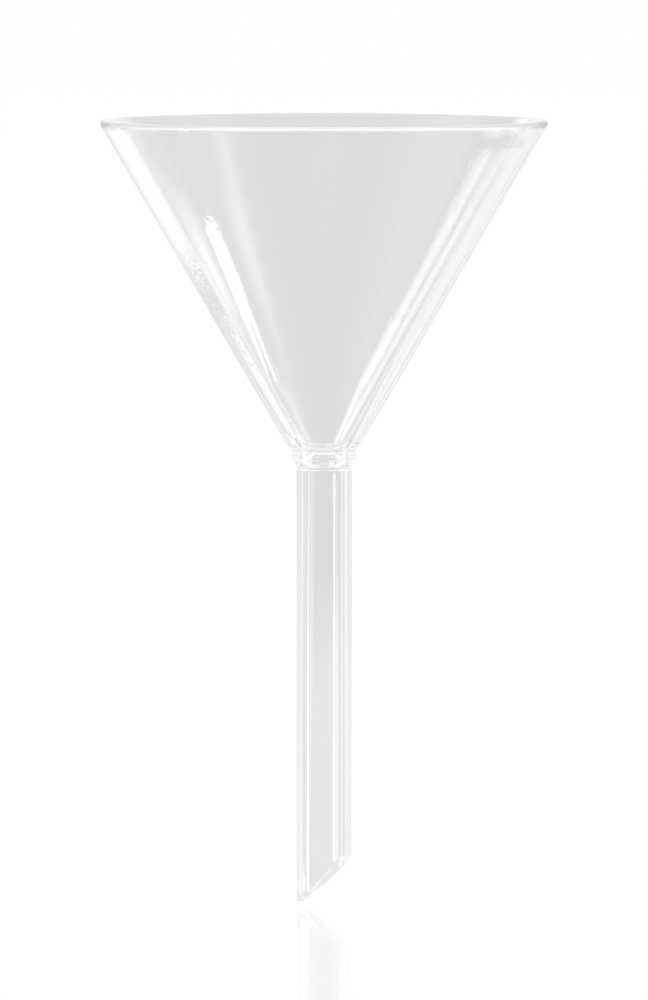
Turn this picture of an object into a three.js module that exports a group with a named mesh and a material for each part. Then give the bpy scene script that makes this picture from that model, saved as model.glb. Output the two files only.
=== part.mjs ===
// A plain short-stem filter funnel in clear glass: an open 60 degree cone, a fire-polished rim, a
// fused neck and a straight stem with a slant-cut tip.
//
// Millimetres, +Z up, the funnel's axis along Z. The origin is on the axis in the neck plane, where
// the line of the cone's outside meets the outside of the stem. The stem's tip is on the -X side,
// so its slant face looks down and towards +X.

import * as THREE from "three";

// Driving dimensions.
const RIM_DIAMETER = 80; // outside, at the widest point of the rim
const CONE_HALF_ANGLE = THREE.MathUtils.degToRad(30); // between the cone's side and its axis
const WALL = 2.4; // of the cone, square to its surface
const RIM_OUTER_ROUND = 0.6; // radius of the melted edges, either side of the flat land
const RIM_INNER_ROUND = 0.5;
const RIM_SKIRT = 3; // wall that belongs to the rim, below its widest point
const STEM_DIAMETER = 10;
const STEM_BORE = 7;
const STEM_LENGTH = 81.8; // from the neck plane to where the slant would reach the stem's side
const TIP_ANGLE = THREE.MathUtils.degToRad(45); // between the slant face and the level
const TIP_OUTER_ROUND = 0.75; // radius of the slant's edges
const TIP_INNER_ROUND = 0.35;
const THROAT_DIAMETER = 6; // the bore is drawn in where bowl and stem are fused
const SHOULDER_RADIUS = 1; // of the rounded edge that the bowl drains over
const DOME_TOP = -0.4; // the throat opens into the bore under a dome
const DOME_BOTTOM = -1.8;
const SEAL_TOP = 6; // the fused glass reaches this far above the neck plane
const SEAL_BOTTOM = -4; // and this far below it

// The outside of the neck, from the stem up: a swollen ring, a shallow waist, then the cone.
const RING_BOTTOM = -0.9;
const RING_Z = 0.9;
const RING_RADIUS = 5.85;
const WAIST_Z = 2.1;
const WAIST_RADIUS = 5.6;
const CONE_START = 2.8;

const SIDES = 60; // flats round the axis
const ROUND_STEPS = 6; // straight pieces in each round stretch of an outline

// The cone's sides are two parallel lines in the outline, one wall apart.
const CONE_SLOPE = Math.tan(CONE_HALF_ANGLE);
const STEM_RADIUS = STEM_DIAMETER / 2;
const BORE_RADIUS = STEM_BORE / 2;
const THROAT_RADIUS = THROAT_DIAMETER / 2;
const outsideRadius = (z) => STEM_RADIUS + z * CONE_SLOPE;
const insideRadius = (z) => outsideRadius(z) - WALL / Math.cos(CONE_HALF_ANGLE);

// The rim's outer round touches the cone's outside line, the rim's full radius and the land.
const WIDEST_R = RIM_DIAMETER / 2 - RIM_OUTER_ROUND;
const WIDEST_Z = (WIDEST_R - STEM_RADIUS + RIM_OUTER_ROUND / Math.cos(CONE_HALF_ANGLE)) / CONE_SLOPE;
const RIM_TOP = WIDEST_Z + RIM_OUTER_ROUND;
const RIM_BOTTOM = WIDEST_Z - RIM_SKIRT;

const glass = () =>
  new THREE.MeshStandardMaterial({ color: 0xe6ebec, roughness: 0.03, metalness: 0, transparent: true, opacity: 0.35 });

// Points on a round from one angle to another, both measured from +r towards +z.
function roundPoints(centreR, centreZ, radius, fromAngle, toAngle) {
  const points = [];
  for (let step = 0; step <= ROUND_STEPS; step += 1) {
    const angle = fromAngle + ((toAngle - fromAngle) * step) / ROUND_STEPS;
    points.push([centreR + radius * Math.cos(angle), centreZ + radius * Math.sin(angle)]);
  }
  return points;
}

// Points on a smooth curve between two heights, with the radius and the slope dr/dz at each.
function curvePoints(fromZ, fromR, fromSlope, toZ, toR, toSlope) {
  const points = [];
  const rise = toZ - fromZ;
  for (let step = 0; step <= ROUND_STEPS; step += 1) {
    const t = step / ROUND_STEPS;
    const r =
      fromR * (1 + 2 * t) * (1 - t) ** 2 +
      toR * t * t * (3 - 2 * t) +
      rise * (fromSlope * t * (1 - t) ** 2 - toSlope * t * t * (1 - t));
    points.push([r, fromZ + rise * t]);
  }
  return points;
}

// Turns a closed outline of [r, z] points round the axis. The outline runs with the glass on its
// left: up the outside and down the inside. It may change with the angle from +X.
function turned(outlineAt) {
  const count = outlineAt(0).length;
  const positions = [];
  const index = [];
  for (let side = 0; side < SIDES; side += 1) {
    const angle = (2 * Math.PI * side) / SIDES;
    const next = (side + 1) % SIDES;
    outlineAt(angle).forEach(([r, z], point) => {
      const above = (point + 1) % count;
      const [a, b] = [side * count + point, next * count + point];
      const [c, d] = [next * count + above, side * count + above];
      positions.push(r * Math.cos(angle), r * Math.sin(angle), z);
      index.push(a, b, c, a, c, d);
    });
  }
  const geometry = new THREE.BufferGeometry();
  geometry.setAttribute("position", new THREE.Float32BufferAttribute(positions, 3));
  geometry.setIndex(index);
  geometry.computeVertexNormals();
  return geometry;
}

function piece(name, geometry) {
  const mesh = new THREE.Mesh(geometry, glass());
  mesh.name = name;
  return mesh;
}

// The fire-polished edge: the cone's wall cut off level, its two corners melted round.
function rim() {
  const innerZ = RIM_TOP - RIM_INNER_ROUND;
  const innerR = insideRadius(innerZ) + RIM_INNER_ROUND / Math.cos(CONE_HALF_ANGLE);
  const outline = [
    [outsideRadius(RIM_BOTTOM), RIM_BOTTOM],
    ...roundPoints(WIDEST_R, WIDEST_Z, RIM_OUTER_ROUND, -CONE_HALF_ANGLE, Math.PI / 2),
    ...roundPoints(innerR, innerZ, RIM_INNER_ROUND, Math.PI / 2, Math.PI - CONE_HALF_ANGLE),
    [insideRadius(RIM_BOTTOM), RIM_BOTTOM],
  ];
  return turned(() => outline);
}

// The conical wall between the fused neck and the rim.
function bowl() {
  const outline = [
    [outsideRadius(SEAL_TOP), SEAL_TOP],
    [outsideRadius(RIM_BOTTOM), RIM_BOTTOM],
    [insideRadius(RIM_BOTTOM), RIM_BOTTOM],
    [insideRadius(SEAL_TOP), SEAL_TOP],
  ];
  return turned(() => outline);
}

// The thick fused glass between bowl and stem. Outside, the stem swells into a ring with a shallow
// waist above it. Inside, the cone rolls over a shoulder into the throat, which opens under a dome
// into the stem's bore.
function neckSeal() {
  const edgeZ = (THROAT_RADIUS - insideRadius(0)) / CONE_SLOPE;
  const shoulderZ = edgeZ - SHOULDER_RADIUS * Math.tan(CONE_HALF_ANGLE / 2);
  const shoulderR = THROAT_RADIUS + SHOULDER_RADIUS;
  const dome = [];
  for (let step = 0; step <= ROUND_STEPS; step += 1) {
    const angle = (Math.PI / 2) * (step / ROUND_STEPS);
    dome.push([
      THROAT_RADIUS + (BORE_RADIUS - THROAT_RADIUS) * Math.sin(angle),
      DOME_BOTTOM + (DOME_TOP - DOME_BOTTOM) * Math.cos(angle),
    ]);
  }
  const outline = [
    [STEM_RADIUS, SEAL_BOTTOM],
    ...curvePoints(RING_BOTTOM, STEM_RADIUS, 0, RING_Z, RING_RADIUS, 0),
    ...curvePoints(RING_Z, RING_RADIUS, 0, WAIST_Z, WAIST_RADIUS, 0).slice(1),
    ...curvePoints(WAIST_Z, WAIST_RADIUS, 0, CONE_START, outsideRadius(CONE_START), CONE_SLOPE).slice(1),
    [outsideRadius(SEAL_TOP), SEAL_TOP],
    [insideRadius(SEAL_TOP), SEAL_TOP],
    ...roundPoints(shoulderR, shoulderZ, SHOULDER_RADIUS, Math.PI - CONE_HALF_ANGLE, Math.PI),
    ...dome,
    [BORE_RADIUS, SEAL_BOTTOM],
  ];
  return turned(() => outline);
}

// The drawn tube. Its lower end is cut on a slant plane that starts at the tip and rises to +X,
// and both edges of the cut are rounded.
function stem() {
  return turned((angle) => {
    const slope = Math.tan(TIP_ANGLE) * Math.cos(angle); // of the cut, along the radius
    const cutZ = (r) => -STEM_LENGTH + STEM_RADIUS * Math.tan(TIP_ANGLE) + r * slope;
    const reach = Math.hypot(slope, 1);
    const outerR = STEM_RADIUS - TIP_OUTER_ROUND;
    const innerR = BORE_RADIUS + TIP_INNER_ROUND;
    const down = Math.atan2(-1, slope); // from the glass, square to the cut
    return [
      ...roundPoints(innerR, cutZ(innerR) + TIP_INNER_ROUND * reach, TIP_INNER_ROUND, -Math.PI, down),
      ...roundPoints(outerR, cutZ(outerR) + TIP_OUTER_ROUND * reach, TIP_OUTER_ROUND, down, 0),
      [STEM_RADIUS, SEAL_BOTTOM],
      [BORE_RADIUS, SEAL_BOTTOM],
    ];
  });
}

const group = new THREE.Group();
group.add(piece("bowl", bowl()));
group.add(piece("rim", rim()));
group.add(piece("neck_seal", neckSeal()));
group.add(piece("stem", stem()));

export default group;
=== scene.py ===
"""A plain short-stem filter funnel in clear glass, in a pale studio.

The funnel is four pieces of glass that were fused in the flame: bowl, rim, neck seal and stem. Each
is a closed solid of its own. Lengths are in millimetres until a mesh is written, in metres.
"""
from math import atan2, cos, hypot, pi, radians, sin, tan

import bmesh
import bpy
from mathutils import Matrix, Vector


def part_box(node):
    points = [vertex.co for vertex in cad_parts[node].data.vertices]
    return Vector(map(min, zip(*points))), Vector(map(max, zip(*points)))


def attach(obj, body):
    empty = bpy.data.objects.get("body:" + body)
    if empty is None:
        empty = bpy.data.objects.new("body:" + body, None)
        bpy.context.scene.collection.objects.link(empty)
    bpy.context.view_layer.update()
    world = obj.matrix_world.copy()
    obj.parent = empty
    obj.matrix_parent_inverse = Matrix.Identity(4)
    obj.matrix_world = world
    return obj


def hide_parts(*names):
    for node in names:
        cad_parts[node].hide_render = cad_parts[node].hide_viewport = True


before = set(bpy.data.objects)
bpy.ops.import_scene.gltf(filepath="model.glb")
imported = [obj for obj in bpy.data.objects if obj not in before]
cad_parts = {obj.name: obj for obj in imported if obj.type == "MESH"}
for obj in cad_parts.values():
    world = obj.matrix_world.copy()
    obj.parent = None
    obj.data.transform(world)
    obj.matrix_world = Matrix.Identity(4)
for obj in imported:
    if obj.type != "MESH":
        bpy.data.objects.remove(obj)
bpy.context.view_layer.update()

MM = 0.001


def extent(node):
    """A CAD node's lowest and highest corners, in millimetres."""
    return [corner / MM for corner in map(Vector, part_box(node))]


# ---- sizes, from the frame where it has them ----
bowl_low = extent("bowl")[0]
rim_low, rim_high = extent("rim")
stem_low, stem_high = extent("stem")
RIM_RADIUS = rim_high.y
RIM_TOP = rim_high.z
RIM_SEAM = rim_low.z  # where the rim's glass meets the bowl's
SEAL_TOP = bowl_low.z
SEAL_BOTTOM = stem_high.z
STEM_RADIUS = stem_high.y
TIP = stem_low.z
CONE_HALF_ANGLE = radians(30)
WALL = 2.4
RIM_OUTER_ROUND = 0.6  # the melted edges, either side of the flat land
RIM_INNER_ROUND = 0.5
BORE_RADIUS = 3.5
STEM_LENGTH = 81.8  # from the neck plane to where the slant would reach the stem's side
TIP_ANGLE = radians(45)
TIP_OUTER_ROUND = 0.75
TIP_INNER_ROUND = 0.35
THROAT_RADIUS = 3.0  # the bore is drawn in where bowl and stem are fused
SHOULDER_RADIUS = 1.0  # of the rounded edge that the bowl drains over
DOME_TOP = -0.4  # the throat opens into the bore under a dome
DOME_BOTTOM = -1.8
RING_BOTTOM = -0.9  # outside, the stem swells into a ring, with a groove between it and the cone
RING_Z = 0.9
RING_RADIUS = 5.85
WAIST_Z = 2.1
WAIST_RADIUS = 5.6
CONE_START = 2.8

SIDES = 240  # round the axis, the same in every piece so that the seams meet
ROUND_STEPS = 14  # in each round or smooth stretch of an outline
BOWL_STEPS = 48
STEM_STEPS = 48
SHORT_STEPS = 4  # in a straight stretch of the neck, or across the rim's land
RIM_WALL_STEPS = 6
LEVEL = 1e-5  # a face this near to a fused height lies in it
GLASS_INDEX, FUSED_INDEX = 0, 1  # the places of a piece's two materials

CONE_SLOPE = tan(CONE_HALF_ANGLE)
WIDEST_R = RIM_RADIUS - RIM_OUTER_ROUND
WIDEST_Z = RIM_TOP - RIM_OUTER_ROUND

# Uneven drawing of the glass: each wave is (share of the radius, waves round, turns per mm, start).
OUTER_WAVES = (
    (0.0007, 2, 0.0, 0.4),
    (0.0004, 5, 0.003, 1.9),
    (0.00018, 11, -0.006, 0.2),
    (0.00008, 23, 0.012, 4.0),
)
INNER_WAVES = (
    (0.0008, 3, 0.002, 2.6),
    (0.0005, 7, -0.004, 0.9),
    (0.0002, 13, 0.008, 3.3),
    (0.00008, 29, -0.015, 1.1),
)
CALM_BELOW_RIM = 4.0  # the melted edge drew itself true


def outside_radius(z):
    """The cone's outside, carried on below its start."""
    return STEM_RADIUS + z * CONE_SLOPE


def inside_radius(z):
    """The cone's inside, one wall in from the outside."""
    return outside_radius(z) - WALL / cos(CONE_HALF_ANGLE)


def stretch(start, end, steps):
    """Evenly spaced points from start to end, both included."""
    return [
        (start[0] + (end[0] - start[0]) * i / steps, start[1] + (end[1] - start[1]) * i / steps)
        for i in range(steps + 1)
    ]


def round_stretch(centre, radius, from_angle, to_angle):
    """Points on a round, with angles from +r towards +z."""
    points = []
    for i in range(ROUND_STEPS + 1):
        angle = from_angle + (to_angle - from_angle) * i / ROUND_STEPS
        points.append((centre[0] + radius * cos(angle), centre[1] + radius * sin(angle)))
    return points


def smooth_stretch(low, high):
    """Points on a smooth curve between two (r, z, slope dr/dz) ends, the first left out."""
    points = []
    rise = high[1] - low[1]
    for i in range(1, ROUND_STEPS + 1):
        t = i / ROUND_STEPS
        r = (
            low[0] * (1 + 2 * t) * (1 - t) ** 2
            + high[0] * t * t * (3 - 2 * t)
            + rise * (low[2] * t * (1 - t) ** 2 - high[2] * t * t * (1 - t))
        )
        points.append((r, low[1] + rise * t))
    return points


# ---- meshes ----
def wave(waves, angle, z):
    """The share of the radius that the waves add at a place."""
    return sum(size * sin(count * angle + 2 * pi * turns * z + start) for size, count, turns, start in waves)


def drawn(r, z, angle):
    """The radius with the glass's unevenness. It depends on the place only, so pieces still meet."""
    outer = max(STEM_RADIUS, outside_radius(z))
    inner = max(BORE_RADIUS, inside_radius(z))
    share = min(1.0, max(0.0, (r - inner) / (outer - inner)))
    unevenness = share * wave(OUTER_WAVES, angle, z) + (1 - share) * wave(INNER_WAVES, angle, z)
    calm = min(1.0, max(0.0, (WIDEST_Z - z) / CALM_BELOW_RIM))
    return r * (1 + unevenness * calm * calm * (3 - 2 * calm))


def lies_at(face, heights):
    """Whether a face lies level at one of those heights."""
    return any(all(abs(corner.co.z - height) < LEVEL for corner in face.verts) for height in heights)


def turned(name, outline_at, fused):
    """An outline of (r, z) points, up the outside and down the inside, turned round Z. It may change
    with the angle. fused are the heights of the level faces where the glass runs on into the next
    piece, with no surface of its own."""
    mesh = bpy.data.meshes.new(name)
    surface = bmesh.new()
    columns = []
    for k in range(SIDES):
        angle = 2 * pi * k / SIDES
        column = []
        for r, z in outline_at(angle):
            r = drawn(r, z, angle)
            column.append(surface.verts.new((r * cos(angle), r * sin(angle), z)))
        columns.append(column)
    count = len(columns[0])
    for k in range(SIDES):
        here, there = columns[k], columns[(k + 1) % SIDES]
        for i in range(count):
            j = (i + 1) % count
            face = surface.faces.new((here[i], there[i], there[j], here[j]))
            is_fused = lies_at(face, fused)
            face.smooth = not is_fused
            face.material_index = FUSED_INDEX if is_fused else GLASS_INDEX
    for edge in surface.edges:
        edge.smooth = len({face.material_index for face in edge.link_faces}) == 1
    bmesh.ops.scale(surface, vec=(MM, MM, MM), verts=surface.verts)
    surface.to_mesh(mesh)
    surface.free()
    piece = bpy.data.objects.new(name, mesh)
    bpy.context.scene.collection.objects.link(piece)
    return piece


def make_rim():
    """The wall cut off level and fire-polished: two melted edges with a narrow land between."""
    inner_z = RIM_TOP - RIM_INNER_ROUND
    inner_r = inside_radius(inner_z) + RIM_INNER_ROUND / cos(CONE_HALF_ANGLE)
    outer_edge = round_stretch((WIDEST_R, WIDEST_Z), RIM_OUTER_ROUND, -CONE_HALF_ANGLE, pi / 2)
    inner_edge = round_stretch((inner_r, inner_z), RIM_INNER_ROUND, pi / 2, pi - CONE_HALF_ANGLE)
    outside_foot = (outside_radius(RIM_SEAM), RIM_SEAM)
    inside_foot = (inside_radius(RIM_SEAM), RIM_SEAM)
    outline = (
        stretch(outside_foot, outer_edge[0], RIM_WALL_STEPS)[:-1]
        + outer_edge
        + stretch(outer_edge[-1], inner_edge[0], SHORT_STEPS)[1:-1]
        + inner_edge
        + stretch(inner_edge[-1], inside_foot, RIM_WALL_STEPS)[1:]
    )
    return turned("rim_glass", lambda angle: outline, (RIM_SEAM,))


def make_bowl():
    """The conical wall between the fused neck and the rim."""
    outside_foot = (outside_radius(SEAL_TOP), SEAL_TOP)
    outside_head = (outside_radius(RIM_SEAM), RIM_SEAM)
    inside_head = (inside_radius(RIM_SEAM), RIM_SEAM)
    inside_foot = (inside_radius(SEAL_TOP), SEAL_TOP)
    outline = stretch(outside_foot, outside_head, BOWL_STEPS) + stretch(inside_head, inside_foot, BOWL_STEPS)
    return turned("bowl_glass", lambda angle: outline, (SEAL_TOP, RIM_SEAM))


def make_neck_seal():
    """Outside, the stem swells into the fused ring, with a groove above it. Inside, the cone rolls
    over a shoulder into the throat, which opens under a dome into the bore."""
    cone_start = (outside_radius(CONE_START), CONE_START)
    outside = (
        stretch((STEM_RADIUS, SEAL_BOTTOM), (STEM_RADIUS, RING_BOTTOM), SHORT_STEPS)
        + smooth_stretch((STEM_RADIUS, RING_BOTTOM, 0), (RING_RADIUS, RING_Z, 0))
        + smooth_stretch((RING_RADIUS, RING_Z, 0), (WAIST_RADIUS, WAIST_Z, 0))
        + smooth_stretch((WAIST_RADIUS, WAIST_Z, 0), (*cone_start, CONE_SLOPE))
        + stretch(cone_start, (outside_radius(SEAL_TOP), SEAL_TOP), SHORT_STEPS)[1:]
    )
    edge_z = (THROAT_RADIUS - inside_radius(0)) / CONE_SLOPE
    shoulder_z = edge_z - SHOULDER_RADIUS * tan(CONE_HALF_ANGLE / 2)
    shoulder = round_stretch(
        (THROAT_RADIUS + SHOULDER_RADIUS, shoulder_z), SHOULDER_RADIUS, pi - CONE_HALF_ANGLE, pi
    )
    dome = []
    for i in range(ROUND_STEPS + 1):
        angle = pi / 2 * i / ROUND_STEPS
        r = THROAT_RADIUS + (BORE_RADIUS - THROAT_RADIUS) * sin(angle)
        dome.append((r, DOME_BOTTOM + (DOME_TOP - DOME_BOTTOM) * cos(angle)))
    inside = (
        stretch((inside_radius(SEAL_TOP), SEAL_TOP), shoulder[0], SHORT_STEPS)[:-1]
        + shoulder
        + stretch(shoulder[-1], dome[0], SHORT_STEPS)[1:]
        + dome[1:]
        + stretch(dome[-1], (BORE_RADIUS, SEAL_BOTTOM), SHORT_STEPS)[1:]
    )
    return turned("neck_seal_glass", lambda angle: outside + inside, (SEAL_TOP, SEAL_BOTTOM))


def stem_outline(angle):
    """The drawn tube, from its slant cut with two melted edges up to the seam with the neck."""
    slope = tan(TIP_ANGLE) * cos(angle)  # of the cut, along the radius
    reach = hypot(slope, 1)
    down = atan2(-1, slope)  # from the glass, square to the cut
    outer_r = STEM_RADIUS - TIP_OUTER_ROUND
    inner_r = BORE_RADIUS + TIP_INNER_ROUND
    middle_z = -STEM_LENGTH + STEM_RADIUS * tan(TIP_ANGLE)
    inner_centre = (inner_r, middle_z + inner_r * slope + TIP_INNER_ROUND * reach)
    outer_centre = (outer_r, middle_z + outer_r * slope + TIP_OUTER_ROUND * reach)
    inner_edge = round_stretch(inner_centre, TIP_INNER_ROUND, -pi, down)
    outer_edge = round_stretch(outer_centre, TIP_OUTER_ROUND, down, 0)
    return (
        outer_edge
        + stretch(outer_edge[-1], (STEM_RADIUS, SEAL_BOTTOM), STEM_STEPS)[1:]
        + stretch((BORE_RADIUS, SEAL_BOTTOM), inner_edge[0], STEM_STEPS)[:-1]
        + inner_edge
    )


def make_stem():
    """The drawn tube, whose outline changes with the angle because of its slant cut."""
    return turned("stem_glass", stem_outline, (SEAL_BOTTOM,))


# ---- materials ----
NOISE_LOW, NOISE_HIGH = 0.35, 0.65  # most of a noise's values lie between these
MIX_FACTOR, MIX_A, MIX_B, MIX_RESULT = 0, 6, 7, 2  # the sockets of a Mix node that mixes colours


def new_material(name):
    """An empty material, with its nodes and links."""
    material = bpy.data.materials.new(name)
    material.use_nodes = True
    nodes = material.node_tree.nodes
    nodes.clear()
    return material, nodes, material.node_tree.links


def computed(nodes, links, operation, *values):
    """The result of a math node on numbers and sockets."""
    node = nodes.new("ShaderNodeMath")
    node.operation = operation
    for i, value in enumerate(values):
        if isinstance(value, (int, float)):
            node.inputs[i].default_value = value
        else:
            links.new(value, node.inputs[i])
    return node.outputs[0]


def noise(nodes, links, vector, scale, detail):
    """A noise value, from a scale in waves per metre and a number of finer layers."""
    texture = nodes.new("ShaderNodeTexNoise")
    texture.inputs["Scale"].default_value = scale
    texture.inputs["Detail"].default_value = detail
    links.new(vector, texture.inputs["Vector"])
    return texture.outputs["Fac"]


def ranged(nodes, links, value, low, high, from_low=NOISE_LOW, from_high=NOISE_HIGH):
    """A value carried smoothly from one range into another, and held at the ends."""
    node = nodes.new("ShaderNodeMapRange")
    node.interpolation_type = "SMOOTHSTEP"
    limits = {"From Min": from_low, "From Max": from_high, "To Min": low, "To Max": high}
    for name, limit in limits.items():
        node.inputs[name].default_value = limit
    links.new(value, node.inputs["Value"])
    return node.outputs["Result"]


def bumped(nodes, links, height, depth, below=None):
    """The normal of a bump of that depth in metres, on top of any bump below."""
    node = nodes.new("ShaderNodeBump")
    node.inputs["Strength"].default_value = 1.0
    node.inputs["Distance"].default_value = depth
    links.new(height, node.inputs["Height"])
    if below:
        links.new(below, node.inputs["Normal"])
    return node.outputs["Normal"]


GLASS_IOR = 1.473  # borosilicate

# Each pattern has the scale of its noise and the number of finer layers.
SPECKS = (900, 2)
LINES = (500, 1)
HAZE = (60, 4)
TINT_CLOUD = (40, 2)
SPECK_DEPTH = 5e-6  # metres
LINE_DEPTH = 3e-6
HAZE_ROUGHNESS = 0.012  # where handling has dulled the surface most
TINT_UNEVENNESS = 0.03  # metres down the axis that the noise can move the change of tint
BOWL_TINT_SPAN = (0.015, 0.03)  # metres up the axis, from the lower tint to the upper, before the noise
STEM_TINT_SPAN = (-0.01, 0.01)


def rippled(nodes, links, place, along):
    """The bumps of the surface: specks, and drawing lines that along below 1 stretches up the axis."""
    stretched = nodes.new("ShaderNodeMapping")
    stretched.inputs["Scale"].default_value = (1, 1, along)
    links.new(place, stretched.inputs["Vector"])
    specks = bumped(nodes, links, noise(nodes, links, place, *SPECKS), SPECK_DEPTH)
    lines = noise(nodes, links, stretched.outputs["Vector"], *LINES)
    return bumped(nodes, links, lines, LINE_DEPTH, specks)


def tinted(nodes, links, place, upper_tint, lower_tint, tint_span):
    """The glass's colour: one tint that goes over unevenly into another, down the axis."""
    height = nodes.new("ShaderNodeSeparateXYZ")
    links.new(place, height.inputs[0])
    cloud = noise(nodes, links, place, *TINT_CLOUD)
    uneven = computed(nodes, links, "MULTIPLY_ADD", cloud, TINT_UNEVENNESS, height.outputs["Z"])
    colour = nodes.new("ShaderNodeMix")
    colour.data_type = "RGBA"
    colour.inputs[MIX_A].default_value = (*upper_tint, 1)
    colour.inputs[MIX_B].default_value = (*lower_tint, 1)
    links.new(ranged(nodes, links, uneven, 1.0, 0.0, *tint_span), colour.inputs[MIX_FACTOR])
    return colour.outputs[MIX_RESULT]


def glass_material(name, tints, tint_span, along):
    """Clear glass with the faint ripple, drawing lines, handling haze and tint that a real one has."""
    material, nodes, links = new_material(name)
    shader = nodes.new("ShaderNodeBsdfPrincipled")
    output = nodes.new("ShaderNodeOutputMaterial")
    links.new(shader.outputs["BSDF"], output.inputs["Surface"])
    shader.inputs["Transmission Weight"].default_value = 1
    shader.inputs["IOR"].default_value = GLASS_IOR
    place = nodes.new("ShaderNodeTexCoord").outputs["Object"]
    haze = ranged(nodes, links, noise(nodes, links, place, *HAZE), 0.0, HAZE_ROUGHNESS)
    links.new(haze, shader.inputs["Roughness"])
    links.new(rippled(nodes, links, place, along), shader.inputs["Normal"])
    links.new(tinted(nodes, links, place, *tints, tint_span), shader.inputs["Base Color"])
    return material


def fused_material():
    """Where two pieces are fused the glass runs on, so light passes straight through."""
    material, nodes, links = new_material("fused_joint")
    shader = nodes.new("ShaderNodeBsdfTransparent")
    output = nodes.new("ShaderNodeOutputMaterial")
    links.new(shader.outputs["BSDF"], output.inputs["Surface"])
    return material


# ---- the funnel ----
CLEAR = (0.99, 0.99, 0.992)
GREENISH = (0.984, 0.99, 0.987)  # seen along the thick glass at the neck
WARM = (0.996, 0.991, 0.983)  # down the stem

# Each piece has its CAD node, what makes it, its slot, its upper and lower tint, where they change,
# and the scale of its drawing lines up the axis, which below 1 stretches them.
PIECES = (
    ("bowl", make_bowl, "bowl_glass", (CLEAR, GREENISH), BOWL_TINT_SPAN, 0.15),
    ("rim", make_rim, "rim_glass", (CLEAR, GREENISH), BOWL_TINT_SPAN, 1.0),
    ("neck_seal", make_neck_seal, "neck_glass", (GREENISH, WARM), STEM_TINT_SPAN, 0.2),
    ("stem", make_stem, "stem_glass", (GREENISH, WARM), STEM_TINT_SPAN, 0.03),
)

fused_glass = fused_material()
for node, make, slot, tints, tint_span, along in PIECES:
    piece = make()
    piece.data.materials.append(glass_material(slot, tints, tint_span, along))
    piece.data.materials.append(fused_glass)
    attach(piece, "root")
    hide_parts(node)


# ---- the studio ----
def flat_piece(name, corners):
    """An object of one flat face with those corners."""
    mesh = bpy.data.meshes.new(name)
    mesh.from_pydata(corners, [], [tuple(range(len(corners)))])
    piece = bpy.data.objects.new(name, mesh)
    bpy.context.scene.collection.objects.link(piece)
    return piece


def add_glow(nodes, links, surface, strength):
    """Sets the material to a surface with a glow on top, and returns the glow."""
    glow = nodes.new("ShaderNodeEmission")
    both = nodes.new("ShaderNodeAddShader")
    output = nodes.new("ShaderNodeOutputMaterial")
    glow.inputs["Strength"].default_value = strength
    links.new(surface.outputs[0], both.inputs[0])
    links.new(glow.outputs[0], both.inputs[1])
    links.new(both.outputs[0], output.inputs["Surface"])
    return glow


FLOOR_GAP = 0.3  # the tip hangs just clear of the floor
FLOOR_HALF_WIDTH = 6000
FLOOR_GLOSS = 0.42
FLOOR_ROUGHNESS = 0.13
FLOOR_GLOW = 0.61


def make_floor():
    """A pale table with a soft gloss, where the stem's mirror image shows. The glass neither mirrors
    it nor shows it, so light from the cards below it reaches the glass."""
    z = (TIP - FLOOR_GAP) * MM
    half = FLOOR_HALF_WIDTH * MM
    corners = [(-half, -half, z), (half, -half, z), (half, half, z), (-half, half, z)]
    floor = flat_piece("studio_floor", corners)
    material, nodes, links = new_material("studio_floor")
    gloss = nodes.new("ShaderNodeBsdfGlossy")
    gloss.inputs["Color"].default_value = (FLOOR_GLOSS, FLOOR_GLOSS, FLOOR_GLOSS, 1)
    gloss.inputs["Roughness"].default_value = FLOOR_ROUGHNESS
    add_glow(nodes, links, gloss, FLOOR_GLOW)
    floor.data.materials.append(material)
    floor.visible_transmission = False
    floor.visible_glossy = False


ROOM = 0.73  # the glow of the room between the panels
ROOM_COLOUR = (0.995, 0.993, 1.0, 1)
WHITE = (1, 1, 1, 1)
TABLE_MIRROR = (9.0, 9.5, 0.5)  # middle, half width and softness of the elevations it mirrors as white
MIRRORED_ONCE = 2.5  # in the world, the depth of a ray that has met one surface is below this

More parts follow.
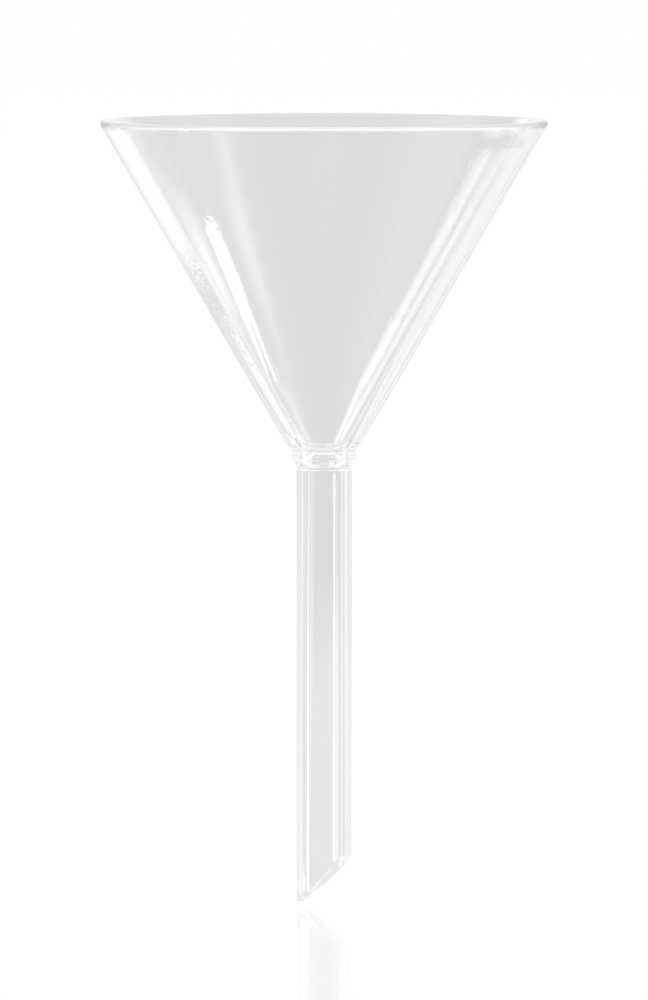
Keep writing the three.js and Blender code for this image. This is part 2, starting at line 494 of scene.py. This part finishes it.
# Soft panels round the funnel, which the camera can't see. Azimuth is from straight behind, positive
# to the right, and height is the elevation less tilt times the azimuth, all in degrees. Each panel
# has its name, the middle, half width and softness of its azimuth, the same of its height, its tilt
# and its gain, which is below zero where a bar is darker than what is behind it.
PANELS = (
    ("window", (24.75, 18.75, 0.5), (-7.0, 6.5, 0.6), -0.55, 0.21),
    ("window_bright_bar", (7.4, 0.6, 0.4), (-7.0, 6.3, 0.5), -0.55, 0.14),
    ("window_second_bright_bar", (11.8, 0.5, 0.5), (-7.0, 5.8, 0.5), -0.55, 0.12),
    ("window_dark_bar", (9.3, 0.6, 0.5), (-7.0, 5.8, 0.5), -0.55, -0.16),
    ("window_second_dark_bar", (17.0, 2.5, 1.5), (-7.0, 5.8, 0.5), -0.55, -0.2),
    ("left_wall", (-29.0, 11.0, 4.0), (0.5, 3.7, 0.7), 0.55, 0.45),
    ("left_wall_edge", (-13.0, 6.0, 3.0), (0.5, 3.7, 0.7), 0.55, 0.1),
    ("left_low", (-42.0, 18.0, 3.0), (-5.2, 1.0, 0.25), 0.55, 0.3),
    ("back_low", (0.0, 38.0, 6.0), (-52.0, 24.0, 4.0), 0.0, 0.7),
    ("overhead", (0.0, 190.0, 1.0), (80.0, 24.0, 5.0), 0.0, 0.25),
    ("left_high", (-105.0, 40.0, 10.0), (30.0, 20.0, 8.0), 0.0, 0.6),
    ("right_high", (105.0, 40.0, 10.0), (30.0, 20.0, 8.0), 0.0, 0.45),
    ("left_level", (-41.0, 11.0, 4.0), (-8.0, 4.5, 1.5), 0.0, 0.2),
    ("back_level", (0.0, 12.0, 4.0), (-11.0, 3.1, 0.8), 0.0, 0.1),
    ("horizon", (0.0, 8.0, 1.0), (1.7, 1.5, 0.3), 0.0, 0.32),
    ("left_horizon", (-31.0, 24.0, 2.0), (3.0, 2.5, 1.0), 0.0, 0.4),
    ("right_horizon", (31.0, 24.0, 2.0), (3.0, 2.5, 1.0), 0.0, 0.4),
    ("left_sky", (-57.0, 38.0, 6.0), (9.0, 8.0, 3.0), 0.0, 0.25),
    ("right_sky", (57.0, 38.0, 6.0), (9.0, 8.0, 3.0), 0.0, 0.25),
    ("right_level", (37.0, 16.0, 4.0), (-6.0, 5.0, 1.5), 0.0, 0.24),
    ("left_glow", (-103.0, 5.0, 7.0), (-52.0, 2.0, 4.0), 0.0, 1.5),
    ("right_glow", (101.0, 6.0, 10.0), (-51.5, 2.0, 4.0), 0.0, 0.25),
)


def within(nodes, links, value, middle, half_width, softness):
    """1 where an angle is inside a range given in degrees and 0 outside it, with soft ends."""
    past_middle = computed(nodes, links, "SUBTRACT", value, radians(middle))
    off_middle = computed(nodes, links, "ABSOLUTE", past_middle)
    inner, outer = radians(half_width - softness), radians(half_width + softness)
    return ranged(nodes, links, off_middle, 1.0, 0.0, inner, outer)


def panel_light(nodes, links, azimuth, elevation):
    """The room's glow in a direction, with every panel added."""
    light = ROOM
    for _, across_range, height_range, tilt, gain in PANELS:
        across = within(nodes, links, azimuth, *across_range)
        height = computed(nodes, links, "MULTIPLY_ADD", azimuth, -tilt, elevation)
        high = within(nodes, links, height, *height_range)
        share = computed(nodes, links, "MULTIPLY", across, high)
        light = computed(nodes, links, "MULTIPLY_ADD", share, gain, light)
    return light


def white_share(nodes, links, elevation):
    """1 for rays straight from the camera and for rays mirrored once that end low down, as they do
    off the table. 0 for the rest, which are nearly all that the glass bends or mirrors."""
    path = nodes.new("ShaderNodeLightPath")
    once = computed(nodes, links, "LESS_THAN", path.outputs["Ray Depth"], MIRRORED_ONCE)
    mirrored = computed(nodes, links, "MULTIPLY", path.outputs["Is Glossy Ray"], once)
    low = within(nodes, links, elevation, *TABLE_MIRROR)
    in_table = computed(nodes, links, "MULTIPLY", mirrored, low)
    return computed(nodes, links, "ADD", path.outputs["Is Camera Ray"], in_table)


def make_world():
    """White behind the funnel and low down in the table's mirror. Otherwise a softer grey room with
    the panels, for the glass to bend and mirror."""
    world = bpy.data.worlds.new("studio")
    world.use_nodes = True
    nodes = world.node_tree.nodes
    links = world.node_tree.links
    nodes.clear()
    place = nodes.new("ShaderNodeTexCoord")
    direction = nodes.new("ShaderNodeSeparateXYZ")
    links.new(place.outputs["Generated"], direction.inputs[0])
    azimuth = computed(nodes, links, "ARCTAN2", direction.outputs["X"], direction.outputs["Y"])
    elevation = computed(nodes, links, "ARCSINE", direction.outputs["Z"])
    output = nodes.new("ShaderNodeOutputWorld")
    white = nodes.new("ShaderNodeBackground")
    room = nodes.new("ShaderNodeBackground")
    mix = nodes.new("ShaderNodeMixShader")
    white.inputs["Color"].default_value = WHITE
    room.inputs["Color"].default_value = ROOM_COLOUR
    links.new(panel_light(nodes, links, azimuth, elevation), room.inputs["Strength"])
    links.new(white_share(nodes, links, elevation), mix.inputs["Fac"])
    links.new(room.outputs[0], mix.inputs[1])
    links.new(white.outputs[0], mix.inputs[2])
    links.new(mix.outputs[0], output.inputs["Surface"])
    bpy.context.scene.world = world


CARD_STEPS = 24
CARD_Z = -130  # under the table

# Each card is an oval, or the part of one between two angles. It has its name, its middle, its half
# widths, the angles, its glow, and the share of the way in from the edge over which the glow fades.
CARDS = (
    ("streak_card", (-188, 54), (28, 35), (pi, 2 * pi), 4.0, 0.0),
    ("patch_card", (-228, 133), (36, 64), (0, 2 * pi), 0.95, 0.8),
    ("glow_card", (-156, -36), (34, 28), (0, 2 * pi), 1.0, 1.0),
)


def oval(middle, half_widths, angles):
    """Points round an oval, or from end to end of a part of it."""
    start, end = angles
    is_whole = end - start == 2 * pi
    steps = CARD_STEPS if is_whole else CARD_STEPS - 1
    points = []
    for i in range(CARD_STEPS):
        angle = start + (end - start) * i / steps
        x = middle[0] + half_widths[0] * cos(angle)
        y = middle[1] + half_widths[1] * sin(angle)
        points.append((x, y))
    return points


def make_card(name, outline, luminance, soft):
    """A glowing card lying level below the funnel, which the cone mirrors. It is drawn from -1 to 1
    about its own middle and scaled, so that its own coordinates say how near its edge is."""
    middle = [(min(p[i] for p in outline) + max(p[i] for p in outline)) / 2 for i in (0, 1)]
    reach = [(max(p[i] for p in outline) - min(p[i] for p in outline)) / 2 for i in (0, 1)]
    corners = [((x - middle[0]) / reach[0], (y - middle[1]) / reach[1], 0) for x, y in outline]
    card = flat_piece(name, corners)
    card.location = Vector((*middle, CARD_Z)) * MM
    card.scale = (reach[0] * MM, reach[1] * MM, 1)
    material, nodes, links = new_material(name)
    glow = add_glow(nodes, links, nodes.new("ShaderNodeBsdfTransparent"), luminance)
    if soft:
        distance = nodes.new("ShaderNodeVectorMath")
        distance.operation = "LENGTH"
        place = nodes.new("ShaderNodeTexCoord")
        links.new(place.outputs["Object"], distance.inputs[0])
        faded = ranged(nodes, links, distance.outputs["Value"], luminance, 0, 1 - soft, 1)
        links.new(faded, glow.inputs["Strength"])
    card.data.materials.append(material)
    card.visible_camera = False


GLASS_BOUNCES = 128  # light runs a long way round inside the rim before it leaves
CAMERA_DISTANCE = 889.5
CAMERA_HEIGHT = 92.6
CAMERA_AIM = -7.04  # the height on the axis that it looks at
LENS = 178.7
SENSOR_WIDTH = 36
FARTHEST_SEEN = 100  # metres


def make_camera():
    """A long lens a little above the rim, looking slightly down."""
    data = bpy.data.cameras.new("camera")
    data.lens = LENS
    data.sensor_width = SENSOR_WIDTH
    data.clip_end = FARTHEST_SEEN
    camera = bpy.data.objects.new("camera", data)
    bpy.context.scene.collection.objects.link(camera)
    camera.location = Vector((0, -CAMERA_DISTANCE, CAMERA_HEIGHT)) * MM
    aim = Vector((0, 0, CAMERA_AIM)) * MM
    camera.rotation_euler = (aim - camera.location).to_track_quat("-Z", "Y").to_euler()
    bpy.context.scene.camera = camera


make_floor()
make_world()
for name, middle, half_widths, angles, luminance, soft in CARDS:
    make_card(name, oval(middle, half_widths, angles), luminance, soft)
make_camera()
bpy.context.scene.view_settings.view_transform = "Standard"
cycles = bpy.context.scene.cycles
cycles.max_bounces = GLASS_BOUNCES
cycles.transmission_bounces = GLASS_BOUNCES
cycles.glossy_bounces = GLASS_BOUNCES
cycles.transparent_max_bounces = GLASS_BOUNCES
